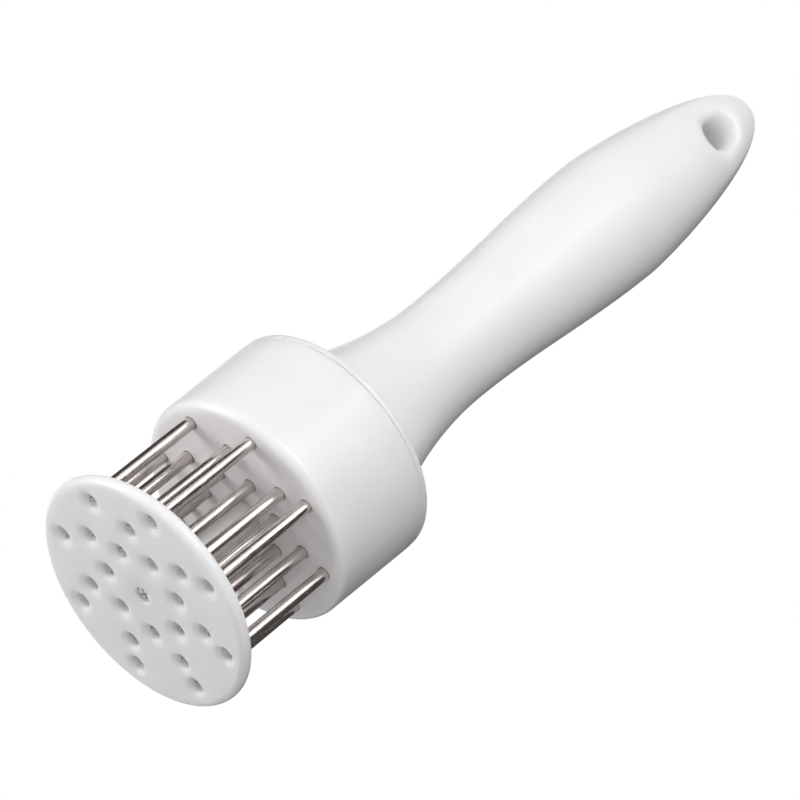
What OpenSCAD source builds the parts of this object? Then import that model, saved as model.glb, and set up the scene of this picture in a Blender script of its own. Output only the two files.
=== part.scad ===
// Needle meat tenderizer with a sprung guard disc.
// Stands on the face of the guard disc, with the handle pointing up along +Z.
// The needle pattern mirrors across the XZ plane and the hanging hole runs nearly along Y.

/* [Guard disc] */
// Thickness of the guard disc
disc_t = 3; // [3:0.1:5]
// How far the disc's edge stands out past the front of the cup
disc_lip = 0.8; // [0.5:0.1:4]
// Rounding of the disc's front edge
disc_front_r = 1.6; // [0.4:0.1:1.6]
// Rounding of the disc's back edge
disc_back_r = 1.2; // [0.4:0.1:1.2]
// Width of the funnel round each needle, at the disc's face
dimple_d = 5.4; // [4.2:0.1:5.8]
// Depth of the funnel round each needle
dimple_depth = 1.2; // [0.6:0.1:1.4]
// Radial clearance of a needle in the guard disc
guard_clear = 0.3; // [0.25:0.05:0.5]

/* [Stroke] */
// Clear space between the guard disc and the cup at rest
gap = 27.6; // [26:0.2:36]
// Travel of the guard disc towards the cup
stroke = 24; // [16:1:25]

/* [Needles] */
// Diameter of a needle
needle_d = 2.8; // [2:0.1:3.2]
// Depth of the needle tips behind the disc's face at rest
tip_inset = 1.5; // [0.5:0.1:2]
// Length of the ground chisel point
point_len = 2.2; // [1.4:0.1:2.4]
// Width of the flat left at the chisel's edge
edge_w = 0.3; // [0.2:0.1:0.6]
// Diameter of a needle's upset head
needle_head_d = 4.2; // [3.6:0.1:4.4]
// Thickness of a needle's upset head
needle_head_t = 1.2; // [0.8:0.1:2]
// Radial fit of a needle in the cup and the needle plate
needle_fit = 0.05; // [0.03:0.01:0.1]
// Clearance between the outer ring's heads and the cup's side wall
head_room = 0.3; // [0.2:0.1:0.6]
// Step from the outer ring of needles in to the middle ring
outer_step = 5.9; // [5.5:0.1:6.2]
// Step from the middle ring of needles in to the inner ring
inner_step = 6.3; // [5.5:0.1:6.4]

/* [Head cup] */
// Diameter of the cup at its front edge
cup_d = 53.6; // [53.6:0.2:66]
// Growth of the cup's radius from front to back
cup_draft = 0.2; // [0:0.05:0.5]
// Length of the cup along the axis
cup_len = 25.8; // [24:0.2:34]
// Thickness of the cup's front wall
face_t = 3; // [2.4:0.1:4]
// Thickness of the cup's side wall
cup_wall = 2.1; // [1.8:0.1:2.4]
// Rounding of the cup's front edge
cup_front_r = 2.4; // [1:0.1:2.4]
// Rounding of the cup's back rim
cup_rim_r = 0.5; // [0.2:0.1:0.8]
// Length of the guide bore for the post
guide_len = 14.8; // [12:0.2:17]
// Outer diameter of the guide sleeve
sleeve_d = 13.6; // [12:0.2:14]

/* [Needle plate] */
// Thickness of the plate that clamps the needle heads
plate_t = 2.5; // [2:0.1:4]
// Radial clearance round the plate, in the cup and on the sleeve
plate_clear = 0.3; // [0.2:0.1:0.5]
// Step from the outer ring of needles in to the plate screws between them
screw_step = 1.3; // [1:0.1:1.6]
// Diameter of a plate screw's shank
screw_d = 2.4; // [2:0.1:2.6]
// Diameter of a plate screw's head
screw_head_d = 4.4; // [3.8:0.1:4.6]
// Thickness of a plate screw's head
screw_head_t = 1.5; // [1:0.1:2]
// Length of a plate screw's shank
screw_len = 5; // [4.4:0.1:5.4]
// Diameter of the bosses that the plate screws go into
boss_d = 5; // [4.4:0.1:5]
// Radial clearance of a screw in its hole
screw_clear = 0.05; // [0.03:0.01:0.15]

/* [Guide post] */
// Diameter of the guide post
post_d = 8.4; // [7:0.1:9]
// Radial clearance of the post in the guide bore
post_fit = 0.08; // [0.03:0.01:0.1]
// Depth of the pocket in the disc's back that locates the post
pocket_depth = 0.8; // [0.5:0.1:0.9]
// Radial clearance of the post in the pocket
pocket_clear = 0.1; // [0.05:0.01:0.2]
// Thickness of the collar that stops the post on the sleeve
collar_t = 2.5; // [2:0.1:4]
// Gap left at the stop, between the collar and the sleeve
stop_gap = 0.1; // [0.05:0.05:0.3]
// Height of the hub that centres the spring on the collar
hub_h = 5; // [3:0.5:8]
// Diameter of the moulding core down the post
post_core_d = 4.4; // [3:0.2:5]
// Web between the screw's pilot hole and the moulding core
post_web = 1.5; // [1:0.1:3]

/* [Guard screw] */
// Length of the guard screw under its head
guard_screw_len = 14; // [10:0.5:18]
// Diameter of the guard screw's shank
guard_screw_d = 2; // [1.6:0.1:2.6]
// Diameter of the guard screw's countersunk head
guard_head_d = 3.8; // [3.4:0.1:4.6]
// Height of the countersunk cone
guard_head_h = 0.9; // [0.7:0.1:0.9]
// Depth of the guard screw's head behind the disc's face
guard_head_inset = 0.8; // [0.6:0.1:1.1]
// Width of the cross slots in the screw heads
slot_w = 0.6; // [0.4:0.1:0.8]
// Depth of the cross slots in the screw heads
slot_depth = 0.5; // [0.3:0.1:0.6]

/* [Return spring] */
// Diameter of the spring wire
wire_d = 1.5; // [1:0.1:1.6]
// Mean diameter of the spring's turns
coil_d = 16.4; // [15.6:0.1:16.6]
// Number of turns
coil_turns = 13; // [9:1:13]
// Length of the spring at rest, which is already squeezed by its preload
spring_len = 47; // [46:0.5:54]
// Gap between the closed turns at each end
end_gap = 0.5; // [0.45:0.05:0.8]

/* [Handle] */
// Clearance between the spring or collar and the handle's core
core_clear = 0.65; // [0.35:0.05:0.8]
// Thickness of the handle's flange, over and inside the cup
flange_t = 3.2; // [2.4:0.1:4]
// Height of the flange that shows above the cup's rim
flange_lip = 1.6; // [0.8:0.1:2]
// Step from the cup's rim in to the flange's edge
flange_step = 0.1; // [0:0.1:1.6]
// Bevel of the flange's edge
flange_bevel = 0.5; // [0.2:0.1:0.7]
// Length of the skirt that plugs the cup
skirt_len = 8; // [6:0.5:10]
// Wall of the skirt
skirt_wall = 2; // [1.6:0.1:3]
// Radial clearance of the skirt in the cup
skirt_clear = 0.1; // [0.05:0.05:0.2]
// Height of the snap bead round the skirt
bead_h = 0.5; // [0.3:0.1:0.6]
// Wall of the tube that holds the spring inside the cup
tube_wall = 2; // [1.6:0.1:3]
// Radius of the neck where it leaves the flange
foot_r = 20.5; // [18:0.1:22]
// Fillet between the flange and the neck
foot_fillet = 1.5; // [0.8:0.1:2.5]
// Radius of the waist
waist_r = 12.35; // [12:0.05:14]
// Radius of the swell that fills the palm
swell_r = 15.15; // [14.5:0.05:18]
// Length of the neck, from the flange to the waist
neck_len = 37; // [35:0.2:44]
// Length from the waist to the fullest point
belly_len = 56.5; // [50:0.5:68]
// Length from the fullest point to the tip
tip_len = 48.5; // [44:0.5:58]
// Width of the shoulder in the core that the spring pushes on
seat_w = 2.6; // [1.6:0.1:3]

/* [Hanging hole] */
// Diameter of the hanging hole at its narrow middle
hang_d = 6; // [4:0.2:9]
// Turn of the hole about the tool's axis, away from Y
hang_turn = -14; // [-20:1:20]
// Distance of the hanging hole's axis from the handle's tip
hang_inset = 16.4; // [14:0.2:18]
// Widening of the hole's scooped mouth, which is twice as deep as it is wide
mouth_r = 4.4; // [1:0.1:4.6]

/* [Hidden] */
$fn = 64;
ARC_STEPS = 6;
CURVE_STEPS = 20;
WIRE_SIDES = 6;
TURN_RINGS = 12;
CUT = 0.5; // how far a cutter runs past the face that it opens

RING_COUNT = [7, 7, 8];
RING_START = [180, 0, 0];
RING_NAME = ["inner", "middle", "outer"];
SCREW_ANGLES = [-112.5, -22.5, 22.5, 112.5];

WHITE = [0.95, 0.95, 0.95];
NATURAL = [0.86, 0.86, 0.83];
STEEL = [0.75, 0.75, 0.77];
SPRING_STEEL = [0.6, 0.61, 0.64];

// Heights, from the disc's face upwards
face_z = disc_t + gap;
face_back_z = face_z + face_t;
plate_z = face_back_z + needle_head_t;
plate_top_z = plate_z + plate_t;
sleeve_top_z = face_z + guide_len;
collar_z = sleeve_top_z + stop_gap;
spring_z = collar_z + collar_t;
seat_z = spring_z + spring_len;
rim_z = face_z + cup_len;
flange_z = rim_z + flange_lip;
flange_under_z = flange_z - flange_t;
waist_z = flange_z + neck_len;
swell_z = waist_z + belly_len;
tip_z = swell_z + tip_len;
hang_z = tip_z - hang_inset;

// Radii
cup_r = cup_d / 2;
rim_r = cup_r + cup_draft;
disc_r = cup_r + disc_lip;
cavity_r = cup_r - cup_wall;
outer_ring_r = cavity_r - head_room - needle_head_d / 2;
middle_ring_r = outer_ring_r - outer_step;
RING_R = [middle_ring_r - inner_step, middle_ring_r, outer_ring_r];
screw_ring_r = outer_ring_r - screw_step;
guard_hole_r = needle_d / 2 + guard_clear;
wire_r = wire_d / 2;
coil_r = coil_d / 2;
bore_r = coil_r + wire_r + core_clear;
collar_r = bore_r - core_clear;
hub_r = (coil_r - wire_r) * cos(180 / TURN_RINGS) - guard_clear;
core_r = bore_r - seat_w;
tube_r = bore_r + tube_wall;
skirt_r = cavity_r - skirt_clear;
flange_r = rim_r - flange_step;
pilot_r = guard_screw_d / 2 + screw_clear;
bead_z = rim_z - skirt_len + 2 * bead_h;

function needle_name(ring, i) = str("needle_", RING_NAME[ring], "_", i);

function needle_angle(ring, i) = RING_START[ring] + (i - 1) * 360 / RING_COUNT[ring];

// Points of an arc round a centre, from one angle to another
function arc(centre, r, a0, a1) =
    [for (i = [0:ARC_STEPS]) centre + r * [cos(a0 + (a1 - a0) * i / ARC_STEPS),
                                           sin(a0 + (a1 - a0) * i / ARC_STEPS)]];

// The neck's radius falls to the waist as a parabola
function neck_r(z) = waist_r + (foot_r - waist_r) * pow((waist_z - z) / neck_len, 2);

// Slope of the neck at its foot, as an angle from the axis
foot_angle = atan(2 * (foot_r - waist_r) / neck_len);
foot_reach = foot_fillet * tan((90 - foot_angle) / 2);
foot_top_z = flange_z + foot_reach * cos(foot_angle);

neck_curve = [for (i = [0:CURVE_STEPS])
    let (z = foot_top_z + (waist_z - foot_top_z) * i / CURVE_STEPS) [neck_r(z), z]];

// Waist to swell follows half a cosine wave
belly_curve = [for (i = [1:CURVE_STEPS])
    [waist_r + (swell_r - waist_r) * (1 - cos(180 * i / CURVE_STEPS)) / 2,
     waist_z + belly_len * i / CURVE_STEPS]];

// Swell to tip is a superellipse, slimmer than a plain one and blunt at its end
TIP_POWERS = [0.816, 1.481];
tip_curve = [for (i = [1:CURVE_STEPS])
    let (a = 90 * i / CURVE_STEPS)
    [i == CURVE_STEPS ? 0 : swell_r * pow(cos(a), TIP_POWERS[0]),
     swell_z + tip_len * pow(sin(a), TIP_POWERS[1])]];

// Height of the spring's centre line after a number of turns: a closed turn at each end
end_pitch = wire_d + end_gap;
open_pitch = (spring_len - wire_d - 2 * end_pitch) / (coil_turns - 2);
function wire_z(turns) = spring_z + wire_r
    + end_pitch * min(turns, 1)
    + open_pitch * max(min(turns - 1, coil_turns - 2), 0)
    + end_pitch * max(turns - coil_turns + 1, 0);

spring_rings = [for (i = [0:coil_turns * TURN_RINGS])
    let (a = 360 * i / TURN_RINGS)
    [for (side = [0:WIRE_SIDES - 1])
        let (b = 90 + 360 * side / WIRE_SIDES, r = coil_r + wire_r * cos(b))
        [r * cos(a), r * sin(a), wire_z(i / TURN_RINGS) + wire_r * sin(b)]]];

spring_gap = min([for (i = [0:(coil_turns - 1) * TURN_RINGS])
    wire_z(i / TURN_RINGS + 1) - wire_z(i / TURN_RINGS)]) - wire_d;
echo(least_gap_between_spring_turns = spring_gap);

module at_needle(ring, i) {
    rotate(needle_angle(ring, i)) translate([RING_R[ring], 0, 0]) children();
}

module at_needles() {
    for (ring = [0:2]) for (i = [1:RING_COUNT[ring]]) at_needle(ring, i) children();
}

module at_screws() {
    for (a = SCREW_ANGLES) rotate(a) translate([screw_ring_r, 0, 0]) children();
}

// Cross slots cut into a screw head whose outer face is at z = 0, going up
module cross_slots(head_d) {
    for (a = [0, 90]) rotate(a)
        translate([-head_d / 3, -slot_w / 2, -CUT])
            cube([head_d * 2 / 3, slot_w, slot_depth + CUT]);
}

module guard_disc() {
    outline = concat([[0, 0]],
        arc([disc_r - disc_front_r, disc_front_r], disc_front_r, 270, 360),
        arc([disc_r - disc_back_r, disc_t - disc_back_r], disc_back_r, 0, 90),
        [[0, disc_t]]);
    color(WHITE) difference() {
        rotate_extrude() polygon(outline);
        at_needles() {
            translate([0, 0, -CUT]) cylinder(r = guard_hole_r, h = disc_t + 2 * CUT);
            cylinder(r1 = dimple_d / 2, r2 = guard_hole_r, h = dimple_depth);
        }
        translate([0, 0, -CUT])
            cylinder(r = guard_head_d / 2 + screw_clear, h = guard_head_inset + CUT);
        translate([0, 0, guard_head_inset]) {
            cylinder(r1 = guard_head_d / 2 + screw_clear, r2 = pilot_r, h = guard_head_h);
            cylinder(r = pilot_r, h = disc_t);
        }
        translate([0, 0, disc_t - pocket_depth])
            cylinder(r = post_d / 2 + pocket_clear, h = pocket_depth + CUT);
    }
}

module guide_post() {
    foot_z = disc_t - pocket_depth;
    pilot_top_z = guard_head_inset + guard_screw_len + CUT;
    hub_top_z = spring_z + hub_h;
    color(WHITE) difference() {
        rotate_extrude() polygon([
            [0, foot_z], [post_d / 2, foot_z], [post_d / 2, collar_z],
            [collar_r, collar_z], [collar_r, spring_z], [hub_r, spring_z],
            [hub_r, hub_top_z - 1], [hub_r - 1, hub_top_z], [0, hub_top_z]]);
        translate([0, 0, foot_z - CUT]) cylinder(r = pilot_r, h = pilot_top_z - foot_z + CUT);
        translate([0, 0, pilot_top_z + post_web]) cylinder(d = post_core_d, h = hub_top_z);
    }
}

module guard_screw() {
    head_z = guard_head_inset;
    shank_z = head_z + guard_head_h;
    end_z = head_z + guard_screw_len;
    color(STEEL) difference() {
        rotate_extrude() polygon([
            [0, head_z], [guard_head_d / 2, head_z], [guard_screw_d / 2, shank_z],
            [guard_screw_d / 2, end_z - guard_screw_d / 2], [slot_w / 2, end_z], [0, end_z]]);
        translate([0, 0, head_z]) cross_slots(guard_head_d);
    }
}

// A needle on the axis: chisel point, shank and upset head
module needle_shape() {
    flat_angle = atan((needle_d - edge_w) / 2 / point_len);
    shank_len = face_back_z - tip_inset;
    translate([0, 0, tip_inset]) difference() {
        union() {
            cylinder(d = needle_d, h = shank_len);
            translate([0, 0, shank_len]) cylinder(d = needle_head_d, h = needle_head_t);
        }
        for (turn = [0, 180]) rotate(turn)
            translate([edge_w / 2, -needle_d, 0])
                rotate([0, flat_angle, 0])
                    translate([0, 0, -point_len])
                        cube([needle_d, 2 * needle_d, 3 * point_len]);
    }
}

module needle(ring, i) {
    color(STEEL) at_needle(ring, i) needle_shape();
}

module head_cup() {
    bead_reach = bead_h + skirt_clear;
    shell = concat([[0, face_z]],
        arc([cup_r - cup_front_r, face_z + cup_front_r], cup_front_r, 270, 360),
        arc([rim_r - cup_rim_r, rim_z - cup_rim_r], cup_rim_r, 0, 90),
        [[cavity_r, rim_z], [cavity_r, bead_z + bead_reach],
         [cavity_r + bead_h, bead_z], [cavity_r, bead_z - bead_reach],
         [cavity_r, face_back_z], [0, face_back_z]]);
    color(WHITE) difference() {
        union() {
            rotate_extrude() polygon(shell);
            translate([0, 0, face_z + face_t / 2])
                cylinder(d = sleeve_d, h = guide_len - face_t / 2);
            translate([0, 0, face_back_z - CUT]) at_screws()
                cylinder(d = boss_d, h = needle_head_t + CUT);
        }
        translate([0, 0, face_z - CUT]) {
            cylinder(r = post_d / 2 + post_fit, h = guide_len + 2 * CUT);
            at_needles() cylinder(r = needle_d / 2 + needle_fit, h = face_t + 2 * CUT);
        }
        translate([0, 0, plate_top_z - screw_len - CUT]) at_screws()
            cylinder(r = screw_d / 2 + screw_clear, h = screw_len);
    }
}

module needle_plate() {
    color(NATURAL) translate([0, 0, plate_z]) difference() {
        cylinder(r = cavity_r - plate_clear, h = plate_t);
        translate([0, 0, -CUT]) {
            cylinder(r = sleeve_d / 2 + plate_clear, h = plate_t + 2 * CUT);
            at_screws() cylinder(r = screw_d / 2 + screw_clear, h = plate_t + 2 * CUT);
        }
    }
}

module plate_screws() {
    color(STEEL) at_screws() difference() {
        union() {
            translate([0, 0, plate_top_z - screw_len]) cylinder(d = screw_d, h = screw_len);
            translate([0, 0, plate_top_z]) cylinder(d = screw_head_d, h = screw_head_t);
        }
        translate([0, 0, plate_top_z + screw_head_t]) mirror([0, 0, 1]) cross_slots(screw_head_d);
    }
}

// One unbroken hexagonal tube swept along the spring's turns
module return_spring() {
    last = len(spring_rings) - 1;
    wall = [for (i = [0:last - 1]) for (k = [0:WIRE_SIDES - 1])
        let (a = i * WIRE_SIDES + k, b = i * WIRE_SIDES + (k + 1) % WIRE_SIDES)
        each [[a, b + WIRE_SIDES, b], [a, a + WIRE_SIDES, b + WIRE_SIDES]]];
    first_cap = [for (k = [1:WIRE_SIDES - 2]) [0, k, k + 1]];
    last_cap = [for (k = [1:WIRE_SIDES - 2]) last * WIRE_SIDES * [1, 1, 1] + [0, k + 1, k]];
    color(SPRING_STEEL) polyhedron([for (ring = spring_rings) each ring],
        concat(wall, first_cap, last_cap));
}

// Widening mouth of the hanging hole, from a depth inside the handle outwards along Z
module hole_mouth(depth_r) {
    rotate_extrude() polygon(concat(
        [[0, depth_r - 2 * mouth_r], [hang_d / 2, depth_r - 2 * mouth_r]],
        [for (i = [1:ARC_STEPS]) let (a = 90 * i / ARC_STEPS)
            [hang_d / 2 + mouth_r * (1 - cos(a)), depth_r - 2 * mouth_r * (1 - sin(a))]],
        [[hang_d / 2 + mouth_r + swell_r, depth_r + swell_r], [0, depth_r + swell_r]]));
}

module handle() {
    foot_arc = arc([foot_r + foot_reach, flange_z + foot_fillet], foot_fillet,
        270, 180 + foot_angle);
    tube_z = plate_top_z + stop_gap;
    skirt_z = rim_z - skirt_len;
    outline = concat(
        [[0, tube_z], [tube_r, tube_z], [tube_r, flange_under_z],
         [skirt_r - skirt_wall, flange_under_z], [skirt_r - skirt_wall, skirt_z],
         [skirt_r, skirt_z], [skirt_r, bead_z - bead_h], [skirt_r + bead_h, bead_z],
         [skirt_r, bead_z + bead_h], [skirt_r, rim_z], [flange_r, rim_z],
         [flange_r, flange_z - flange_bevel], [flange_r - flange_bevel, flange_z]],
        foot_arc, neck_curve, belly_curve, tip_curve);
    core_top_z = hang_z - hang_d / 2 - 2 * mouth_r - core_r;
    hang_r = swell_r * pow(1 - pow((hang_z - swell_z) / tip_len, 2 / TIP_POWERS[1]),
        TIP_POWERS[0] / 2);
    color(WHITE) difference() {
        rotate_extrude() polygon(outline);
        rotate_extrude() polygon([
            [0, tube_z - CUT], [bore_r, tube_z - CUT], [bore_r, seat_z], [core_r, seat_z],
            [core_r, core_top_z], [core_r / 2, core_top_z + core_r / 2],
            [0, core_top_z + core_r / 2]]);
        translate([0, 0, hang_z]) rotate(hang_turn) {
            rotate([90, 0, 0]) cylinder(d = hang_d, h = 4 * swell_r, center = true);
            for (tilt = [-90, 90]) rotate([tilt, 0, 0]) hole_mouth(hang_r);
        }
    }
}

guard_disc();
guide_post();
guard_screw();
head_cup();
for (ring = [0:2]) for (i = [1:RING_COUNT[ring]])
    needle(ring, i);
needle_plate();
plate_screws();
return_spring();
handle();
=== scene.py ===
import math

import bmesh
import bpy
from mathutils import Matrix, Vector


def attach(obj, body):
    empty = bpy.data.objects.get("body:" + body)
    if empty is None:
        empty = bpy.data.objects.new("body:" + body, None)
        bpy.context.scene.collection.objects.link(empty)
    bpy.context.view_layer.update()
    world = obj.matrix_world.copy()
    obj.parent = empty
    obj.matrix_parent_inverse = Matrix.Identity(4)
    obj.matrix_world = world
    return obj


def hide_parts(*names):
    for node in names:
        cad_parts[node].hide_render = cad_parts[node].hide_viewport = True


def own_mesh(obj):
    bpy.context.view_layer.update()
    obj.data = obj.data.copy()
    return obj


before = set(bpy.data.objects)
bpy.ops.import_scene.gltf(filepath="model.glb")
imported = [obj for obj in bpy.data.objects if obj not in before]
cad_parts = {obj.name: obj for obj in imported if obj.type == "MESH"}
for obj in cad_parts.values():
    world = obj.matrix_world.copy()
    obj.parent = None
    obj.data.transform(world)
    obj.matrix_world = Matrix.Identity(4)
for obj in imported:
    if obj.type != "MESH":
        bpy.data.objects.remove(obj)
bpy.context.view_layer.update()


# --- Camera ---------------------------------------------------------------------------------------
# A long lens a metre away, lower than the object and looking up past the face of the guard disc.
# The handle runs away from it towards the upper right of the frame.
lens = bpy.data.cameras.new("camera")
lens.lens = 225
lens.sensor_width = 36
lens.clip_start = 0.1
lens.clip_end = 20
camera = bpy.data.objects.new("camera", lens)
camera.location = (-0.26643, -0.83660, -0.50658)
camera.rotation_euler = [math.radians(turn) for turn in (136.6506, -40.2876, -52.211)]
bpy.context.scene.collection.objects.link(camera)
bpy.context.scene.camera = camera
bpy.context.scene.view_settings.view_transform = "Standard"


# --- Studio ---------------------------------------------------------------------------------------
# A pale floor under the guard disc and a white surround, whose upper right gives no fill light. The
# camera looks up through the floor, so the floor shows only from above and lets light pass.
SURROUND_FILL = 0.405
FILL_COLOUR = (0.985, 0.985, 1.0)
RIGHT_OF_CAMERA = (0.952, -0.306, 0)
FLOOR_COLOUR = (0.86, 0.86, 0.86)
FLOOR_DROP = 0.0003
FLOOR_R = 3.0
FLOOR_FADE_START, FLOOR_FADE_END = 0.15, 1.1
FLOOR_GLOW_NEAR, FLOOR_GLOW_FAR = 0.45, 1.0
WHITE = (1, 1, 1)


def add_node(tree, kind, **settings):
    """A new shader node with its settings."""
    made = tree.nodes.new(kind)
    for setting, value in settings.items():
        setattr(made, setting, value)
    return made


def empty_tree(owner):
    """Turns on the nodes of a world or a material and clears them. Gives back the node tree."""
    owner.use_nodes = True
    owner.node_tree.nodes.clear()
    return owner.node_tree


def math_node(tree, operation, first, second=None):
    """A Math node fed by sockets or numbers. Gives back its output socket."""
    made = add_node(tree, "ShaderNodeMath", operation=operation)
    for index, value in enumerate((first, second)):
        if isinstance(value, bpy.types.NodeSocket):
            tree.links.new(value, made.inputs[index])
        elif value is not None:
            made.inputs[index].default_value = value
    return made.outputs[0]


def ramp_node(tree, value, low, high, out_low=0.0, out_high=1.0):
    """A smooth step of a value from one number to another. Gives back its output socket."""
    made = add_node(tree, "ShaderNodeMapRange", interpolation_type="SMOOTHSTEP")
    tree.links.new(value, made.inputs["Value"])
    made.inputs["From Min"].default_value = low
    made.inputs["From Max"].default_value = high
    made.inputs["To Min"].default_value = out_low
    made.inputs["To Max"].default_value = out_high
    return made.outputs["Result"]


def plain_light(tree, kind, colour):
    """A Background or Emission shader of one colour, at a strength of 1."""
    made = add_node(tree, kind)
    made.inputs["Color"].default_value = (*colour, 1)
    made.inputs["Strength"].default_value = 1.0
    return made


def mix_shaders(tree, amount, first, second):
    """A Mix Shader node between two shader nodes, mixed by a socket."""
    made = add_node(tree, "ShaderNodeMixShader")
    tree.links.new(amount, made.inputs["Fac"])
    tree.links.new(first.outputs[0], made.inputs[1])
    tree.links.new(second.outputs[0], made.inputs[2])
    return made


def place_object(name, mesh, material):
    """Makes an object of a mesh and a material, and puts it in the scene."""
    data = bpy.data.meshes.new(name)
    mesh.to_mesh(data)
    mesh.free()
    data.materials.append(material)
    made = bpy.data.objects.new(name, data)
    bpy.context.scene.collection.objects.link(made)
    return made


surround = bpy.data.worlds.new("surround")
tree = empty_tree(surround)
heading = add_node(tree, "ShaderNodeTexCoord").outputs["Generated"]
parts = add_node(tree, "ShaderNodeSeparateXYZ")
tree.links.new(heading, parts.inputs["Vector"])
rightward = add_node(tree, "ShaderNodeVectorMath", operation="DOT_PRODUCT")
tree.links.new(heading, rightward.inputs[0])
rightward.inputs[1].default_value = RIGHT_OF_CAMERA
upper_right = math_node(tree, "MULTIPLY", ramp_node(tree, parts.outputs["Z"], -0.25, 0.25),
                        ramp_node(tree, rightward.outputs["Value"], -0.4, 0.4))
lit = math_node(tree, "SUBTRACT", 1.0, upper_right)
fill = plain_light(tree, "ShaderNodeBackground", FILL_COLOUR)
tree.links.new(math_node(tree, "MULTIPLY", lit, SURROUND_FILL), fill.inputs["Strength"])
# The camera, reflections and clear surfaces see plain white in place of the fill
rays = add_node(tree, "ShaderNodeLightPath")
seen = math_node(tree, "MAXIMUM", rays.outputs["Is Camera Ray"], rays.outputs["Is Glossy Ray"])
seen = math_node(tree, "MAXIMUM", seen, rays.outputs["Is Transmission Ray"])
shell = mix_shaders(tree, seen, fill, plain_light(tree, "ShaderNodeBackground", WHITE))
tree.links.new(shell.outputs[0], add_node(tree, "ShaderNodeOutputWorld").inputs["Surface"])
bpy.context.scene.world = surround

floor_paint = bpy.data.materials.new("floor_paint")
tree = empty_tree(floor_paint)
place = add_node(tree, "ShaderNodeNewGeometry")
reach = add_node(tree, "ShaderNodeVectorMath", operation="LENGTH")
tree.links.new(place.outputs["Position"], reach.inputs[0])
matt = add_node(tree, "ShaderNodeBsdfDiffuse")
matt.inputs["Color"].default_value = (*FLOOR_COLOUR, 1)
# The floor goes over into the white surround with distance
fade = ramp_node(tree, reach.outputs["Value"], FLOOR_FADE_START, FLOOR_FADE_END,
                 FLOOR_GLOW_NEAR, FLOOR_GLOW_FAR)
top = mix_shaders(tree, fade, matt, plain_light(tree, "ShaderNodeEmission", WHITE))
rays = add_node(tree, "ShaderNodeLightPath")
above = math_node(tree, "SUBTRACT", 1.0, place.outputs["Backfacing"])
shown = math_node(tree, "MULTIPLY", above, rays.outputs["Is Camera Ray"])
surface = mix_shaders(tree, shown, add_node(tree, "ShaderNodeBsdfTransparent"), top)
tree.links.new(surface.outputs[0], add_node(tree, "ShaderNodeOutputMaterial").inputs["Surface"])

floor_mesh = bmesh.new()
bmesh.ops.create_circle(floor_mesh, cap_ends=True, segments=96, radius=FLOOR_R,
                        matrix=Matrix.Translation((0, 0, -FLOOR_DROP)))
floor = place_object("floor", floor_mesh, floor_paint)

AIM_Z = 0.06
LAMP_REACH = 0.95


def softbox(name, azimuth, elevation, width, height, power):
    """A soft lamp aimed at the lower part of the object, from a compass direction and a height."""
    lamp = bpy.data.lights.new(name, "AREA")
    lamp.shape = "RECTANGLE"
    lamp.size = width
    lamp.size_y = height
    lamp.energy = power
    a, e = math.radians(azimuth), math.radians(elevation)
    way = Vector((math.cos(a) * math.cos(e), math.sin(a) * math.cos(e), math.sin(e)))
    stand = bpy.data.objects.new(name, lamp)
    stand.location = Vector((0, 0, AIM_Z)) + way * LAMP_REACH
    stand.rotation_euler = way.to_track_quat("Z", "Y").to_euler()
    bpy.context.scene.collection.objects.link(stand)


softbox("left_softbox", 150, -35, 0.45, 0.45, 3.87)
softbox("front_softbox", 250, 12, 0.75, 0.45, 4.05)
softbox("low_softbox", 238, -10, 0.45, 0.45, 1.9)
softbox("strip_softbox", 238, 32, 0.20, 0.50, 0.66)

# Two dark curved flags stand left and right of the head. Only reflections see them, so the polished
# needles get dark sides.
FLAG_COLOUR = (0.086, 0.073, 0.068)
FLAG_R, FLAG_FOOT, FLAG_TOP = 0.7, 0.12, 0.95
flag_cloth = bpy.data.materials.new("flag_cloth")
tree = empty_tree(flag_cloth)
dull = plain_light(tree, "ShaderNodeEmission", FLAG_COLOUR)
tree.links.new(dull.outputs[0], add_node(tree, "ShaderNodeOutputMaterial").inputs["Surface"])
for flag_name, start, sweep in (("right_flag", 276, 150), ("left_flag", 198, -100)):
    flag_mesh = bmesh.new()
    ends = [flag_mesh.verts.new((FLAG_R, 0, height)) for height in (FLAG_FOOT, FLAG_TOP)]
    edge = flag_mesh.edges.new(ends)
    bmesh.ops.rotate(flag_mesh, verts=ends, cent=(0, 0, 0),
                     matrix=Matrix.Rotation(math.radians(start), 3, "Z"))
    bmesh.ops.spin(flag_mesh, geom=[*ends, edge], axis=(0, 0, 1), cent=(0, 0, 0),
                   angle=math.radians(sweep), steps=24)
    flag = place_object(flag_name, flag_mesh, flag_cloth)
    flag.visible_camera = False
    flag.visible_diffuse = False
    flag.visible_transmission = False
    flag.visible_shadow = False


# --- Guard disc -----------------------------------------------------------------------------------
# The disc that presses on the meat: white plastic moulding, 3 mm thick, with a shallow soft bowl
# leading into the hole of each needle and a plain sinking in its centre for the guard screw.
MM = 0.001
WELD = 0.002 * MM
DISC_R = 27.6
DISC_T = 3.0
FRONT_ROUND = 1.6
BACK_ROUND = 1.2
ROUND_SIDES = 160
GUARD_HOLE_R = 1.7
HOLE_BACK_R = 2.0
HOLE_SIDES = 40
BOWL_R = 3.6
BOWL_APART = 0.05
SINK_R = 2.35
POST_SEAT_R = 4.5
# Each ring of needles: its name, its radius in millimetres, how many needles, and its first angle
RINGS = (("inner", 10.1, 7, 180), ("middle", 16.4, 7, 0), ("outer", 22.3, 8, 0))


def ring_places():
    """Name, x, y and angle of every needle, in millimetres and degrees."""
    places = []
    for ring, radius, count, start in RINGS:
        for index in range(count):
            angle = start + 360 * index / count
            x = radius * math.cos(math.radians(angle))
            y = radius * math.sin(math.radians(angle))
            places.append((f"needle_{ring}_{index + 1}", x, y, angle))
    return places


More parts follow.
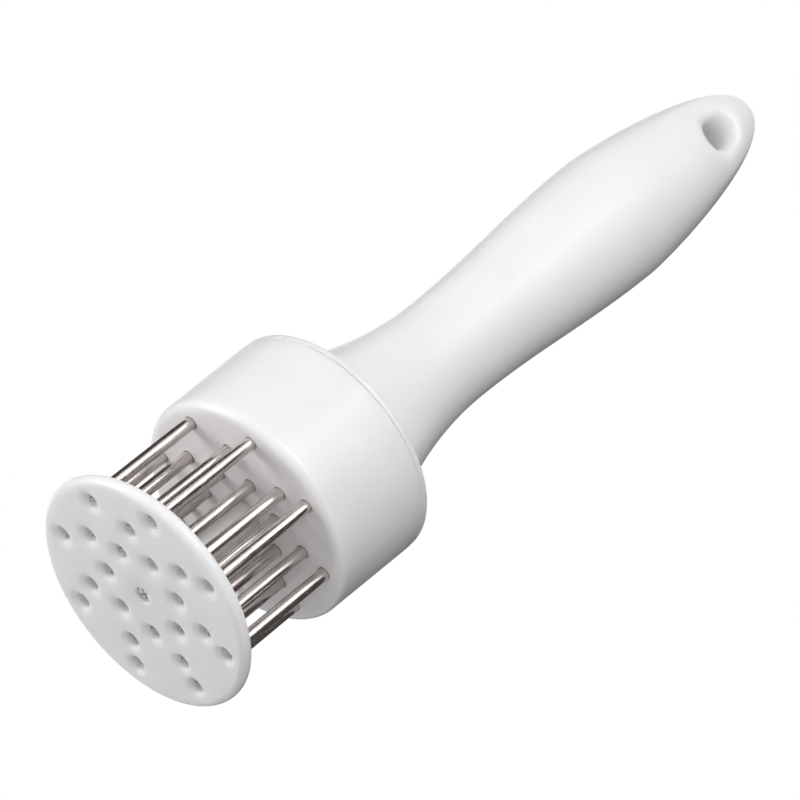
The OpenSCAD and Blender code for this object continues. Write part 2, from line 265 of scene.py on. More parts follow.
def edges_at(corners):
    """The edges that meet these corners, each of them once and always in the same order."""
    return list(dict.fromkeys(edge for corner in corners for edge in corner.link_edges))


def circle(mesh, x, y, z, radius, sides):
    """A circle of edges lying level, sized in millimetres. Gives back its edges."""
    made = bmesh.ops.create_circle(mesh, segments=sides, radius=radius * MM,
                                   matrix=Matrix.Translation((x * MM, y * MM, z * MM)))
    return edges_at(made["verts"])


def draw_once(mesh, edges):
    """Draws a line of edges out by a row of faces. Gives back the new line's edges and corners."""
    made = bmesh.ops.extrude_edge_only(mesh, edges=edges)["geom"]
    corners = [part for part in made if isinstance(part, bmesh.types.BMVert)]
    new = set(corners)
    edges = [part for part in made if isinstance(part, bmesh.types.BMEdge)
             and all(corner in new for corner in part.verts)]
    return edges, corners


def draw_out(mesh, edges, x, y, steps):
    """Draws a circle of edges on through (radius, height) steps round its centre, in millimetres.
    Gives back the last circle's edges."""
    for radius, height in steps:
        edges, corners = draw_once(mesh, edges)
        for corner in corners:
            spoke = Vector((corner.co.x - x * MM, corner.co.y - y * MM))
            spoke = spoke.normalized() * radius * MM
            corner.co = (x * MM + spoke.x, y * MM + spoke.y, height * MM)
    return edges


def level_face(mesh, edges):
    """Fills between an outer circle and the circles inside it."""
    bmesh.ops.triangle_fill(mesh, edges=edges, use_beauty=True)


def arc(centre_r, centre_z, radius, start, end, steps=6):
    """Points of an arc, as (radius, height) in millimetres."""
    turns = [math.radians(start + (end - start) * step / steps) for step in range(steps + 1)]
    return [(centre_r + radius * math.cos(t), centre_z + radius * math.sin(t)) for t in turns]


def finished(name, mesh, material, sharp=32):
    """Closes a piece's seams, turns its faces outwards and makes it an object. Edges that turn by
    more than the sharp angle, in degrees, stay crisp."""
    bmesh.ops.remove_doubles(mesh, verts=mesh.verts, dist=WELD)
    bmesh.ops.recalc_face_normals(mesh, faces=mesh.faces)
    piece = place_object(name, mesh, material)
    piece.data.shade_smooth()
    piece.data.set_sharp_from_angle(angle=math.radians(sharp))
    return piece


def make_group(name, inputs, outputs):
    """A shader node group with named inputs and outputs. Gives back its tree and its two ends."""
    group = bpy.data.node_groups.new(name, "ShaderNodeTree")
    for label, kind, value in inputs:
        socket = group.interface.new_socket(name=label, in_out="INPUT", socket_type=kind)
        if value is not None:
            socket.default_value = value
    for label, kind in outputs:
        group.interface.new_socket(name=label, in_out="OUTPUT", socket_type=kind)
    return group, add_node(group, "NodeGroupInput"), add_node(group, "NodeGroupOutput")


def noise(tree, vector, scale, detail=2.0, roughness=0.5):
    """A Noise Texture on a vector. Gives back its factor socket."""
    made = add_node(tree, "ShaderNodeTexNoise")
    tree.links.new(vector, made.inputs["Vector"])
    if isinstance(scale, bpy.types.NodeSocket):
        tree.links.new(scale, made.inputs["Scale"])
    else:
        made.inputs["Scale"].default_value = scale
    made.inputs["Detail"].default_value = detail
    made.inputs["Roughness"].default_value = roughness
    return made.outputs["Fac"]


# Fine spark-eroded grain of the mould, and the soft clouding where the plastic flowed in
mould_grain, group_in, group_out = make_group(
    "mould_grain",
    (("Vector", "NodeSocketVector", None), ("Grain Scale", "NodeSocketFloat", 2600.0),
     ("Cloud Scale", "NodeSocketFloat", 60.0)),
    (("Height", "NodeSocketFloat"), ("Cloud", "NodeSocketFloat")))
where = group_in.outputs["Vector"]
fine = noise(mould_grain, where, group_in.outputs["Grain Scale"], 3.0, 0.6)
broad_scale = math_node(mould_grain, "MULTIPLY", group_in.outputs["Grain Scale"], 0.12)
broad = math_node(mould_grain, "MULTIPLY", noise(mould_grain, where, broad_scale, 1.0), 0.8)
height = math_node(mould_grain, "ADD", fine, broad)
mould_grain.links.new(height, group_out.inputs["Height"])
cloud = noise(mould_grain, where, group_in.outputs["Cloud Scale"], 2.0, 0.45)
mould_grain.links.new(ramp_node(mould_grain, cloud, 0.3, 0.7), group_out.inputs["Cloud"])

# Wear where an edge stands out, broken up so that it isn't an even line
edge_wear, group_in, group_out = make_group(
    "edge_wear",
    (("Vector", "NodeSocketVector", None), ("Break Scale", "NodeSocketFloat", 900.0)),
    (("Mask", "NodeSocketFloat"),))
geometry = add_node(edge_wear, "ShaderNodeNewGeometry")
raised = ramp_node(edge_wear, geometry.outputs["Pointiness"], 0.505, 0.56)
broken = noise(edge_wear, group_in.outputs["Vector"], group_in.outputs["Break Scale"], 3.0, 0.6)
broken = ramp_node(edge_wear, broken, 0.35, 0.6)
edge_wear.links.new(math_node(edge_wear, "MULTIPLY", raised, broken), group_out.inputs["Mask"])

# Hair-fine rub marks in two crossing directions, in patches
rub_marks, group_in, group_out = make_group(
    "rub_marks",
    (("Vector", "NodeSocketVector", None), ("Mark Scale", "NodeSocketFloat", 300.0)),
    (("Mask", "NodeSocketFloat"),))
layers = []
for turn, stretch in ((0.5, (1, 14, 1)), (-0.8, (12, 1, 1.5))):
    laid = add_node(rub_marks, "ShaderNodeMapping")
    laid.inputs["Rotation"].default_value = (turn * 0.6, turn, turn * 1.7)
    laid.inputs["Scale"].default_value = stretch
    rub_marks.links.new(group_in.outputs["Vector"], laid.inputs["Vector"])
    streak = noise(rub_marks, laid.outputs["Vector"], group_in.outputs["Mark Scale"])
    layers.append(ramp_node(rub_marks, streak, 0.64, 0.74))
both = math_node(rub_marks, "MAXIMUM", layers[0], layers[1])
patches = ramp_node(rub_marks, noise(rub_marks, group_in.outputs["Vector"], 90.0), 0.48, 0.66)
rub_marks.links.new(math_node(rub_marks, "MULTIPLY", both, patches), group_out.inputs["Mask"])


def use_group(tree, group, vector, **values):
    """Places a node group in a material, on a vector, with this material's own values."""
    made = add_node(tree, "ShaderNodeGroup", node_tree=group)
    tree.links.new(vector, made.inputs["Vector"])
    for label, value in values.items():
        made.inputs[label.replace("_", " ")].default_value = value
    return made


def mix_colours(tree, amount, first, second):
    """Mixes two colours, each a socket or three numbers. Gives back its output socket."""
    made = add_node(tree, "ShaderNodeMix", data_type="RGBA")
    tree.links.new(amount, made.inputs["Factor"])
    for value, socket in ((first, made.inputs[6]), (second, made.inputs[7])):
        if isinstance(value, bpy.types.NodeSocket):
            tree.links.new(value, socket)
        else:
            socket.default_value = (*value, 1)
    return made.outputs[2]


def add_share(tree, base, mask, share):
    """A value plus a share of a mask. Gives back its output socket."""
    return math_node(tree, "ADD", base, math_node(tree, "MULTIPLY", mask, share))


def raise_relief(tree, shader, relief, depth):
    """Raises a shader's surface by a height map, to a depth in millimetres."""
    bump = add_node(tree, "ShaderNodeBump")
    bump.inputs["Strength"].default_value = 1.0
    bump.inputs["Distance"].default_value = depth * MM
    tree.links.new(relief, bump.inputs["Height"])
    tree.links.new(bump.outputs["Normal"], shader.inputs["Normal"])


def moulded_plastic(name, pale, deep, gloss, grain, cloud, depth, milky=0.3, seam=None):
    """Injection-moulded plastic: two near tones, a fine grain, faint rub marks and worn edges. It
    is more or less milky, so light spreads a few millimetres inside it."""
    material = bpy.data.materials.new(name)
    material.use_nodes = True
    tree = material.node_tree
    plastic = tree.nodes["Principled BSDF"]
    where = add_node(tree, "ShaderNodeTexCoord").outputs["Object"]
    body = use_group(tree, mould_grain, where, Grain_Scale=grain, Cloud_Scale=cloud)
    marks = use_group(tree, rub_marks, where, Mark_Scale=240.0).outputs["Mask"]
    worn = use_group(tree, edge_wear, where, Break_Scale=700.0).outputs["Mask"]
    # A rub mark takes the colour a tenth of the way to a duller one
    tone = mix_colours(tree, body.outputs["Cloud"], deep, pale)
    dulled = math_node(tree, "MULTIPLY", marks, 0.10)
    tone = mix_colours(tree, dulled, tone, [part * 0.82 for part in pale])
    tree.links.new(tone, plastic.inputs["Base Color"])
    # Clouding and rub marks are rougher, and a worn edge is polished
    rough = add_share(tree, gloss, body.outputs["Cloud"], 0.05)
    rough = add_share(tree, rough, marks, 0.10)
    rough = add_share(tree, rough, worn, -0.08)
    tree.links.new(rough, plastic.inputs["Roughness"])
    relief = body.outputs["Height"]
    if seam is not None:
        relief = seam(tree, where, relief)
    raise_relief(tree, plastic, relief, depth)
    plastic.inputs["IOR"].default_value = 1.49
    plastic.inputs["Subsurface Weight"].default_value = milky
    plastic.inputs["Subsurface Radius"].default_value = (1.0, 0.95, 0.92)
    plastic.inputs["Subsurface Scale"].default_value = 3.0 * MM
    return material


disc_plastic = moulded_plastic("disc_plastic", (0.925, 0.922, 0.922), (0.89, 0.888, 0.892),
                               gloss=0.34, grain=2600.0, cloud=110.0, depth=0.012, milky=1.0)

disc_mesh = bmesh.new()
face_edges = circle(disc_mesh, 0, 0, 0, DISC_R - FRONT_ROUND, ROUND_SIDES)
back_edges = circle(disc_mesh, 0, 0, DISC_T, DISC_R - BACK_ROUND, ROUND_SIDES)
disc_side = arc(DISC_R - FRONT_ROUND, FRONT_ROUND, FRONT_ROUND, -90, 0, 10)[1:]
disc_side += arc(DISC_R - BACK_ROUND, DISC_T - BACK_ROUND, BACK_ROUND, 0, 90)
draw_out(disc_mesh, face_edges, 0, 0, disc_side)

# The bowl as (share of the way from its rim to the hole, depth), and then the hole's own wall and
# the sinking for the screw as (radius, height)
bowl = [(0.12, 0.012), (0.24, 0.045), (0.36, 0.10), (0.48, 0.18), (0.60, 0.29), (0.72, 0.42),
        (0.82, 0.55), (0.90, 0.68), (0.96, 0.80), (1.0, 0.95)]
hole_wall = [(GUARD_HOLE_R, DISC_T - 0.3), (1.74, DISC_T - 0.12), (1.86, DISC_T - 0.02),
             (HOLE_BACK_R, DISC_T)]
screw_sinking = [(2.2, 0.02), (2.08, 0.09), (2.0, 0.2), (1.95, 0.4), (1.95, 0.8), (1.05, 1.7),
                 (1.05, 2.2), (4.3, 2.2), (4.3, 2.8), (POST_SEAT_R, DISC_T)]
places = ring_places()
for needle_name, x, y, angle in places:
    # A bowl stops short of the nearest other bowl
    nearest = min(math.hypot(x - other_x, y - other_y)
                  for other_name, other_x, other_y, _ in places
                  if other_name != needle_name)
    rim = min(BOWL_R, nearest / 2 - BOWL_APART)
    mouth = circle(disc_mesh, x, y, 0, rim, HOLE_SIDES)
    face_edges += mouth
    bowl_wall = [(rim + (GUARD_HOLE_R - rim) * share, depth) for share, depth in bowl]
    draw_out(disc_mesh, mouth, x, y, bowl_wall + hole_wall)
    back_edges += circle(disc_mesh, x, y, DISC_T, HOLE_BACK_R, HOLE_SIDES)
mouth = circle(disc_mesh, 0, 0, 0, SINK_R, HOLE_SIDES)
face_edges += mouth
draw_out(disc_mesh, mouth, 0, 0, screw_sinking)
back_edges += circle(disc_mesh, 0, 0, DISC_T, POST_SEAT_R, HOLE_SIDES)
level_face(disc_mesh, face_edges)
level_face(disc_mesh, back_edges)
guard_disc = finished("guard_disc_moulded", disc_mesh, disc_plastic)
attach(guard_disc, "guard")
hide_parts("guard_disc")


# --- Guide post -----------------------------------------------------------------------------------
# The post that carries the guard disc and slides in the cup: one off-white plastic moulding with a
# collar that stops it and a hub for the spring, bored out from the top to keep its wall even.
POST_R = 4.2
POST_FOOT_Z = 2.2
PILOT_R = 1.06
COLLAR_R, COLLAR_Z, COLLAR_TOP_Z = 8.95, 45.5, 48.0
COLLAR_ROUND = 0.3
HUB_R, HUB_TOP_Z = 7.1, 53.0
BORE_R, BORE_END_Z = 2.2, 16.8


def turned(profile, steps=96, closed=True):
    """Spins a profile of (radius, height) points, in millimetres, into a mesh. A closed profile
    joins its last point to its first."""
    mesh = bmesh.new()
    corners = [mesh.verts.new((radius * MM, 0, height * MM)) for radius, height in profile]
    pairs = list(zip(corners, corners[1:]))
    if closed:
        pairs.append((corners[-1], corners[0]))
    edges = [mesh.edges.new(pair) for pair in pairs]
    bmesh.ops.spin(mesh, geom=corners + edges, axis=(0, 0, 1), cent=(0, 0, 0),
                   angle=math.radians(360), steps=steps, use_merge=True)
    bmesh.ops.remove_doubles(mesh, verts=mesh.verts, dist=WELD)
    return mesh


post_plastic = moulded_plastic("post_plastic", (0.78, 0.775, 0.76), (0.74, 0.735, 0.72),
                               gloss=0.38, grain=3000.0, cloud=140.0, depth=0.008)
post_profile = [(PILOT_R, POST_FOOT_Z), (POST_R - 0.2, POST_FOOT_Z), (POST_R, POST_FOOT_Z + 0.2),
                (POST_R, COLLAR_Z - 0.2), (POST_R + 0.2, COLLAR_Z)]
post_profile += arc(COLLAR_R - COLLAR_ROUND, COLLAR_Z + COLLAR_ROUND, COLLAR_ROUND, -90, 0, 3)
post_profile += arc(COLLAR_R - COLLAR_ROUND, COLLAR_TOP_Z - COLLAR_ROUND, COLLAR_ROUND, 0, 90, 3)
post_profile += [(HUB_R + 0.2, COLLAR_TOP_Z), (HUB_R, COLLAR_TOP_Z + 0.2), (HUB_R, HUB_TOP_Z - 1),
                 (HUB_R - 1, HUB_TOP_Z), (BORE_R + 0.3, HUB_TOP_Z), (BORE_R, HUB_TOP_Z - 0.3),
                 (BORE_R, BORE_END_Z), (0, BORE_END_Z), (0, BORE_END_Z - 1.5),
                 (PILOT_R, BORE_END_Z - 2)]
guide_post = finished("guide_post_moulded", turned(post_profile), post_plastic)
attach(guide_post, "guard")
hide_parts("guide_post")


# --- Guard screw ----------------------------------------------------------------------------------
# A small countersunk cross-head screw of bright stainless steel, driven into the end of the guide
# post from the face of the disc. Its head sits in the disc's centre sinking.
HEAD_FACE_Z = 0.8
CROSS_REACH, CROSS_HALF, CROSS_FLOOR = 1.25, 0.3, 1.3

# Fine parallel lines left by drawing, rolling or grinding, along the vector's Z
drawn_lines, group_in, group_out = make_group(
    "drawn_lines",
    (("Vector", "NodeSocketVector", None), ("Line Scale", "NodeSocketFloat", 2500.0),
     ("Length", "NodeSocketFloat", 0.03)),
    (("Height", "NodeSocketFloat"), ("Tone", "NodeSocketFloat")))
where = group_in.outputs["Vector"]
parts = add_node(drawn_lines, "ShaderNodeSeparateXYZ")
drawn_lines.links.new(where, parts.inputs["Vector"])
pulled = add_node(drawn_lines, "ShaderNodeCombineXYZ")
drawn_lines.links.new(parts.outputs["X"], pulled.inputs["X"])
drawn_lines.links.new(parts.outputs["Y"], pulled.inputs["Y"])
shortened = math_node(drawn_lines, "MULTIPLY", parts.outputs["Z"], group_in.outputs["Length"])
drawn_lines.links.new(shortened, pulled.inputs["Z"])
lines = noise(drawn_lines, pulled.outputs["Vector"], group_in.outputs["Line Scale"], 3.0, 0.6)
drawn_lines.links.new(lines, group_out.inputs["Height"])
tone = noise(drawn_lines, where, 260.0, 3.0, 0.55)
drawn_lines.links.new(ramp_node(drawn_lines, tone, 0.3, 0.7), group_out.inputs["Tone"])


def bright_steel(name, pale, deep, gloss, lines, length, depth, ground_and_shaded_to=None):
    """Bare steel: two near tones, fine lines, smears and rubbed edges. Below the height
    ground_and_shaded_to, in millimetres, it is rougher from the grinding wheel, and its colour is
    darker as painted shade, for a point that sits in the dark of a hole."""
    material = bpy.data.materials.new(name)
    material.use_nodes = True
    tree = material.node_tree
    steel = tree.nodes["Principled BSDF"]
    steel.inputs["Metallic"].default_value = 1.0
    where = add_node(tree, "ShaderNodeTexCoord").outputs["Object"]
    made = use_group(tree, drawn_lines, where, Line_Scale=lines, Length=length)
    smears = use_group(tree, rub_marks, where, Mark_Scale=500.0).outputs["Mask"]
    worn = use_group(tree, edge_wear, where, Break_Scale=1600.0).outputs["Mask"]
    tone = mix_colours(tree, made.outputs["Tone"], deep, pale)
    shine = math_node(tree, "MULTIPLY", worn, 0.5)
    tone = mix_colours(tree, shine, tone, [min(1, part * 1.15) for part in pale])
    rough = add_share(tree, gloss, made.outputs["Tone"], 0.07)
    rough = add_share(tree, rough, smears, 0.16)
    if ground_and_shaded_to is not None:
        parts = add_node(tree, "ShaderNodeSeparateXYZ")
        tree.links.new(where, parts.inputs["Vector"])
        dull = ramp_node(tree, parts.outputs["Z"], ground_and_shaded_to * MM, (ground_and_shaded_to + 0.3) * MM, 1.0, 0.0)
        rough = add_share(tree, rough, dull, 0.55)
        # The colour below that height is darkened as painted shade, for a point sitting in the dark
        # of a hole; the grinding only makes it rougher.
        tone = mix_colours(tree, dull, tone, [part * 0.72 for part in pale])
    tree.links.new(tone, steel.inputs["Base Color"])
    tree.links.new(rough, steel.inputs["Roughness"])
    raise_relief(tree, steel, made.outputs["Height"], depth)
    return material


screw_steel = bright_steel("screw_steel", (0.66, 0.65, 0.63), (0.56, 0.55, 0.53),
                           gloss=0.24, lines=5200.0, length=1.0, depth=0.004)
screw_profile = [(1.78, HEAD_FACE_Z), (1.87, 0.83), (1.9, 0.89), (1.0, 1.7), (1.0, 13.8),
                 (0.3, 14.8), (0, 14.8)]
screw_mesh = turned(screw_profile, 48, closed=False)
head_edges = [edge for edge in screw_mesh.edges if edge.is_boundary]

# The cross recess: a three by three grid without its corners is the floor, and its edge is drawn
# back down to the head's face
grid = bmesh.ops.create_grid(screw_mesh, x_segments=3, y_segments=3, size=1.0)["verts"]
grid_faces = dict.fromkeys(face for corner in grid for face in corner.link_faces)
corner_faces = [face for face in grid_faces
                if min(map(abs, face.calc_center_median().xy)) > 0.5]
bmesh.ops.delete(screw_mesh, geom=corner_faces, context="FACES")
grid = [corner for corner in grid if corner.is_valid]
for corner in grid:
    place = [math.copysign(CROSS_REACH if abs(part) > 0.9 else CROSS_HALF, part) * MM
             for part in corner.co.xy]
    corner.co = (*place, CROSS_FLOOR * MM)
cross_edges = [edge for edge in edges_at(grid) if edge.is_boundary]
cross_edges, corners = draw_once(screw_mesh, cross_edges)
for corner in corners:
    corner.co.z = HEAD_FACE_Z * MM
level_face(screw_mesh, head_edges + cross_edges)
guard_screw = finished("guard_screw_turned", screw_mesh, screw_steel)
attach(guard_screw, "guard")
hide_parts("guard_screw")


# --- Needles --------------------------------------------------------------------------------------
# 22 round needles of drawn stainless wire, each ground to a chisel point on two sides and upset to
# a flat head at the other end. They are pressed through the cup's front wall in three rings.
NEEDLE_R = 1.4
TIP_Z = 1.5
TIP_LENGTH = 2.2
TIP_EDGE = 0.3
HEAD_Z, HEAD_TOP_Z = 33.6, 34.8
HEAD_R = 2.1
# The needles' chisel points are rougher from grinding, and darker as painted shade because they sit
# in the dark of the guard disc's holes.
needle_steel = bright_steel("needle_steel", (0.67, 0.63, 0.61), (0.57, 0.53, 0.512),
                            gloss=0.17, lines=2600.0, length=0.02, depth=0.003,
                            ground_and_shaded_to=TIP_Z + TIP_LENGTH)
needle_profile = [(0, TIP_Z), (NEEDLE_R, TIP_Z), (NEEDLE_R, HEAD_Z), (HEAD_R - 0.1, HEAD_Z),
                  (HEAD_R, HEAD_Z + 0.1), (HEAD_R, HEAD_TOP_Z - 0.1), (HEAD_R - 0.1, HEAD_TOP_Z),
                  (0, HEAD_TOP_Z)]
slope = math.atan((NEEDLE_R - TIP_EDGE / 2) / TIP_LENGTH)
for needle_name, x, y, angle in ring_places():
    needle_mesh = turned(needle_profile, 32, closed=False)
    for side in (1, -1):
        whole = needle_mesh.verts[:] + needle_mesh.edges[:] + needle_mesh.faces[:]
        cut = bmesh.ops.bisect_plane(
            needle_mesh, geom=whole, dist=0.001 * MM, clear_outer=True,
            plane_co=(side * TIP_EDGE / 2 * MM, 0, TIP_Z * MM),
            plane_no=(side * math.cos(slope), 0, -math.sin(slope)))
        ground = [part for part in cut["geom_cut"] if isinstance(part, bmesh.types.BMEdge)]
        bmesh.ops.holes_fill(needle_mesh, edges=ground, sides=0)
    spot = Matrix.Translation((x * MM, y * MM, 0)) @ Matrix.Rotation(math.radians(angle), 4, "Z")
    bmesh.ops.transform(needle_mesh, matrix=spot, verts=needle_mesh.verts)
    needle = finished(f"{needle_name}_ground", needle_mesh, needle_steel)
    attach(needle, "tool")
    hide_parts(needle_name)


# --- Head cup -------------------------------------------------------------------------------------
# The round white cup that carries the needles: one plastic moulding, open at the back, with a front
# wall for the needles, a guide sleeve for the post, and four bosses for the plate screws.
FACE_Z = 30.6
WALL_Z = 33.6
RIM_Z = 56.4
CUP_R = 26.8
CUP_RIM_R = 27.0
CUP_FRONT_ROUND = 2.4
CUP_RIM_ROUND = 0.5
CAVITY_R = 24.7
CAVITY_ROUND = 0.4
GROOVE_Z, GROOVE_DEPTH = 49.4, 0.4
NEEDLE_SEAT_R = 1.45
SLEEVE_BORE_R, SLEEVE_R, SLEEVE_TOP_Z = 4.28, 6.8, 45.4
BOSS_RING_R, BOSS_R, BOSS_TOP_Z = 21.0, 2.5, 34.8
BOSS_PILOT_R, BOSS_PILOT_Z = 1.25, 31.8
cup_plastic = moulded_plastic("cup_plastic", (0.907, 0.89, 0.888), (0.877, 0.859, 0.858),
                              gloss=0.30, grain=2400.0, cloud=70.0, depth=0.010)
cup_mesh = bmesh.new()
front_edges = circle(cup_mesh, 0, 0, FACE_Z, CUP_R - CUP_FRONT_ROUND, ROUND_SIDES)
wall_edges = circle(cup_mesh, 0, 0, WALL_Z, CAVITY_R - CAVITY_ROUND, ROUND_SIDES)

# Up the outside in an even taper, over the rim, and down the inside past the groove for the bead
side_foot, side_top = FACE_Z + CUP_FRONT_ROUND, RIM_Z - CUP_RIM_ROUND
cup_side = arc(CUP_R - CUP_FRONT_ROUND, side_foot, CUP_FRONT_ROUND, -90, 0, 10)[1:]
cup_side += [(CUP_R + (CUP_RIM_R - CUP_R) * step / 6, side_foot + (side_top - side_foot) * step / 6)
             for step in range(1, 6)]
cup_side += arc(CUP_RIM_R - CUP_RIM_ROUND, side_top, CUP_RIM_ROUND, 0, 90)
cup_side += [(CAVITY_R + 0.2, RIM_Z), (CAVITY_R, RIM_Z - 0.2), (CAVITY_R, GROOVE_Z + 0.5),
             (CAVITY_R + GROOVE_DEPTH, GROOVE_Z), (CAVITY_R, GROOVE_Z - 0.5),
             (CAVITY_R, WALL_Z + CAVITY_ROUND), (CAVITY_R - 0.12, WALL_Z + 0.12),
             (CAVITY_R - CAVITY_ROUND, WALL_Z)]
draw_out(cup_mesh, front_edges, 0, 0, cup_side)

# Each needle's seat, with a small soft lead-in at the front
needle_seat = [(1.62, FACE_Z + 0.03), (1.52, FACE_Z + 0.12), (1.46, FACE_Z + 0.3),
               (NEEDLE_SEAT_R, WALL_Z)]
for needle_name, x, y, angle in ring_places():
    mouth = circle(cup_mesh, x, y, FACE_Z, 1.75, 32)
    front_edges += mouth
    draw_out(cup_mesh, mouth, x, y, needle_seat)
    wall_edges += circle(cup_mesh, x, y, WALL_Z, NEEDLE_SEAT_R, 32)

# The guide sleeve: through its bore, over its top and back down to the wall
sleeve = [(4.45, FACE_Z + 0.06), (4.32, FACE_Z + 0.25), (SLEEVE_BORE_R, FACE_Z + 0.5),
          (SLEEVE_BORE_R, SLEEVE_TOP_Z - 0.2), (SLEEVE_BORE_R + 0.2, SLEEVE_TOP_Z),
          (SLEEVE_R - 0.2, SLEEVE_TOP_Z), (SLEEVE_R, SLEEVE_TOP_Z - 0.2), (SLEEVE_R, WALL_Z)]
mouth = circle(cup_mesh, 0, 0, FACE_Z, 4.7, 64)
front_edges += mouth
draw_out(cup_mesh, mouth, 0, 0, sleeve)
wall_edges += circle(cup_mesh, 0, 0, WALL_Z, SLEEVE_R, 64)

# The bosses stand between the needles, each with a blind pilot hole
boss_side = [(BOSS_R, BOSS_TOP_Z - 0.1), (BOSS_R - 0.1, BOSS_TOP_Z), (BOSS_PILOT_R, BOSS_TOP_Z),
             (BOSS_PILOT_R, BOSS_PILOT_Z)]
for turn in (-112.5, -22.5, 22.5, 112.5):
    x = BOSS_RING_R * math.cos(math.radians(turn))
    y = BOSS_RING_R * math.sin(math.radians(turn))
    boss = circle(cup_mesh, x, y, WALL_Z, BOSS_R, 32)
    wall_edges += boss
    pilot = draw_out(cup_mesh, boss, x, y, boss_side)
    bmesh.ops.holes_fill(cup_mesh, edges=pilot, sides=0)
level_face(cup_mesh, front_edges)
level_face(cup_mesh, wall_edges)
head_cup = finished("head_cup_moulded", cup_mesh, cup_plastic)
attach(head_cup, "tool")
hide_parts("head_cup")


# --- Needle plate ---------------------------------------------------------------------------------
# The flat disc behind the needles' heads that holds them in the cup: natural, unpainted plastic cut
# and drilled to shape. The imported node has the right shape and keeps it.
plate_plastic = moulded_plastic("plate_plastic", (0.70, 0.69, 0.64), (0.63, 0.62, 0.57),
                                gloss=0.46, grain=1500.0, cloud=200.0, depth=0.02)
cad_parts["needle_plate"].material_slots[0].material = plate_plastic


# --- Plate screws ---------------------------------------------------------------------------------
# Four pan-head cross screws of bright steel that clamp the needle plate to the cup's bosses. They
# are hidden inside the cup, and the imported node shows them.
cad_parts["plate_screws"].material_slots[0].material = screw_steel


# --- Return spring --------------------------------------------------------------------------------
# A compression spring of hard-drawn wire with a closed turn at each end. It stands on the post's
# collar, presses on a shoulder inside the handle's neck, and pushes the guard disc out.
WIRE_R = 0.75
COIL_R = 8.2
SPRING_Z = 48.0
SPRING_TOP_Z = 95.0
END_PITCH = 2.0
OPEN_TURNS = 11
OPEN_LENGTH = 41.5
TURN_STEPS = 36
spring_steel = bright_steel("spring_steel", (0.55, 0.54, 0.53), (0.42, 0.41, 0.41),
                            gloss=0.30, lines=3000.0, length=0.6, depth=0.006)
spring_mesh = bmesh.new()
wire = bmesh.ops.create_circle(
    spring_mesh, segments=12, radius=WIRE_R * MM,
    matrix=Matrix.Translation((COIL_R * MM, 0, (SPRING_Z + WIRE_R) * MM))
    @ Matrix.Rotation(math.radians(90), 4, "X"))
section = wire["verts"] + edges_at(wire["verts"])
for turns, pitch in ((1, END_PITCH), (OPEN_TURNS, OPEN_LENGTH / OPEN_TURNS), (1, END_PITCH)):
    made = bmesh.ops.spin(spring_mesh, geom=section, axis=(0, 0, 1), cent=(0, 0, 0),
                          dvec=(0, 0, pitch / TURN_STEPS * MM), angle=math.radians(360 * turns),
                          steps=TURN_STEPS * turns)
    section = made["geom_last"]
bmesh.ops.holes_fill(spring_mesh, edges=spring_mesh.edges, sides=0)
return_spring = finished("return_spring_wound", spring_mesh, spring_steel, sharp=60)
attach(return_spring, "tool")
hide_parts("return_spring")
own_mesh(return_spring)


# --- Handle ---------------------------------------------------------------------------------------
# The grip and the cup's lid in one white plastic moulding: a skirt that snaps into the cup, a
# flared neck, a waist, a full grip and a blunt tip with a cross hole to hang it by.
FOOT_R = 20.5
FLANGE_Z, FLANGE_R = 58.0, 26.9
WAIST_Z, WAIST_R = 95.0, 12.35
SWELL_Z, SWELL_R = 151.5, 15.15
TOP_Z = 200.0
TIP_RISE, TIP_FULLNESS = 1.481, 0.816
HANG_Z, HANG_R, HANG_TURN = 183.6, 3.0, -14
MOUTH_R = 8.0
MOUTH_DEPTH = 8.4
MOUTH_STEPS = 16
MOUTH_SIDES = 64
MOUTH_BAND = 9
GRIP_FOOT_Z = FLANGE_Z + 1.2


def grip_radius(z):
    """Outer radius of the handle at a height above the neck's foot, in millimetres."""
    if z <= WAIST_Z:
        return WAIST_R + (FOOT_R - WAIST_R) * ((WAIST_Z - z) / (WAIST_Z - FLANGE_Z)) ** 2
    if z <= SWELL_Z:
        share = (z - WAIST_Z) / (SWELL_Z - WAIST_Z)
        return WAIST_R + (SWELL_R - WAIST_R) * (1 - math.cos(math.pi * share)) / 2
    share = min(1, (z - SWELL_Z) / (TOP_Z - SWELL_Z))
    return SWELL_R * max(0, 1 - share ** (2 / TIP_RISE)) ** (TIP_FULLNESS / 2)


def parting_line(tree, where, relief):
    """Adds the hair-thin ridge where the two mould halves met, along the handle's two sides."""
    squared = add_node(tree, "ShaderNodeMapping")
    squared.inputs["Rotation"].default_value = (0, 0, math.radians(-HANG_TURN))
    tree.links.new(where, squared.inputs["Vector"])
    parts = add_node(tree, "ShaderNodeSeparateXYZ")
    tree.links.new(squared.outputs["Vector"], parts.inputs["Vector"])
    off = math_node(tree, "ABSOLUTE", parts.outputs["Y"])
    ridge = ramp_node(tree, off, 0.04 * MM, 0.16 * MM, 1.0, 0.0)
    broken = ramp_node(tree, noise(tree, where, 350.0), 0.25, 0.7, 0.3, 1.0)
    return add_share(tree, relief, math_node(tree, "MULTIPLY", ridge, broken), 2.5)


handle_plastic = moulded_plastic("handle_plastic", (0.898, 0.893, 0.903), (0.867, 0.864, 0.877),
                                 gloss=0.28, grain=2200.0, cloud=38.0, depth=0.010,
                                 milky=0.6, seam=parting_line)

